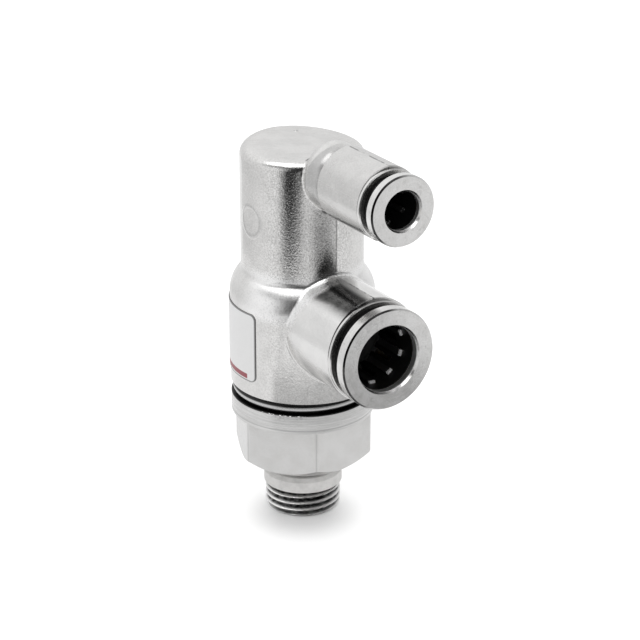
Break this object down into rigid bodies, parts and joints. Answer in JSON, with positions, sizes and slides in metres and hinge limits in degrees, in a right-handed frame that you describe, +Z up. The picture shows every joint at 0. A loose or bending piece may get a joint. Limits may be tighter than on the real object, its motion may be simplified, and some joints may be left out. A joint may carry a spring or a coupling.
{
  "type": "pneumatic shut-off valve",
  "caption": "Upright pilot-operated air shut-off valve: male pipe thread and hexagon below, swivelling plated body with a large and a small push-in tube port.",
  "frame": {"origin": "on the valve axis at the end face of the male thread", "axes": "+Z up along the valve axis, from the thread to the top of the tower; +X the way both tube ports face; +Y to the left of the ports"},
  "size_m": [0.0319, 0.0183, 0.0517],
  "materials": {
    "plated_forging": "satin nickel plate over forged brass, with a fine forging grain",
    "plated_turned": "satin nickel plate over turned brass, fine turning marks",
    "plated_ring": "nickel plate over turned brass, satin face and brighter edges",
    "collet_plastic": "glossy black moulding",
    "tooth_steel": "bright spring steel",
    "seal_rubber": "smooth black rubber",
    "spacer_plastic": "plain dark moulding",
    "label_film": "white printed film with a dull red stripe and no words",
    "seal_ring_plastic": "smooth pale grey plastic",
    "spring_steel": "bright spring wire",
    "bare_brass": "plain turned brass"
  },
  "bodies": {
    "stem": {"threaded_stem": "plated_turned", "thread_seal_ring": "seal_ring_plastic", "swivel_o_ring": "seal_rubber", "stem_seal": "seal_rubber", "swivel_retaining_ring": "spring_steel", "valve_seat": "bare_brass", "spring_guide": "bare_brass", "poppet_spring": "spring_steel"},
    "body": {"valve_body": "plated_forging", "body_label": "label_film", "rod_guide": "bare_brass", "rod_seal": "seal_rubber", "guide_seal": "seal_rubber", "piston_spring": "spring_steel", "main_cartridge_sleeve": "plated_turned", "main_tube_seal": "seal_rubber", "main_seal_spacer": "spacer_plastic", "pilot_cartridge_sleeve": "plated_turned", "pilot_tube_seal": "seal_rubber", "pilot_seal_spacer": "spacer_plastic"},
    "piston": {"pilot_piston": "bare_brass", "piston_seal": "seal_rubber"},
    "poppet": {"check_poppet": "bare_brass", "poppet_seal": "seal_rubber"},
    "main_release": {"main_release_ring": "plated_ring", "main_collet": "collet_plastic", "main_collet_teeth": "tooth_steel"},
    "pilot_release": {"pilot_release_ring": "plated_ring", "pilot_collet": "collet_plastic", "pilot_collet_teeth": "tooth_steel"}
  },
  "joints": [
    {"name": "body_swivel", "type": "hinge", "parent": "stem", "child": "body", "pos_m": [0, 0, 0], "axis": [0, 0, 1], "continuous": true},
    {"name": "main_release_press", "type": "slide", "parent": "body", "child": "main_release", "axis": [-1, 0, 0], "range_m": [0, 0.0011]},
    {"name": "pilot_release_press", "type": "slide", "parent": "body", "child": "pilot_release", "axis": [-1, 0, 0], "range_m": [0, 0.0011]},
    {"name": "piston_stroke", "type": "slide", "parent": "body", "child": "piston", "axis": [0, 0, -1], "range_m": [0, 0.0016], "stiffness_N_per_m": 900, "springref_m": -0.003, "deforming": ["piston_spring"]},
    {"name": "poppet_lift", "type": "slide", "parent": "stem", "child": "poppet", "axis": [0, 0, -1], "range_m": [0, 0.0016], "stiffness_N_per_m": 500, "springref_m": -0.002, "deforming": ["poppet_spring"]}
  ],
  "couplings": [
    {"joint": "poppet_lift", "follows": "piston_stroke", "ratio": 1}
  ]
}
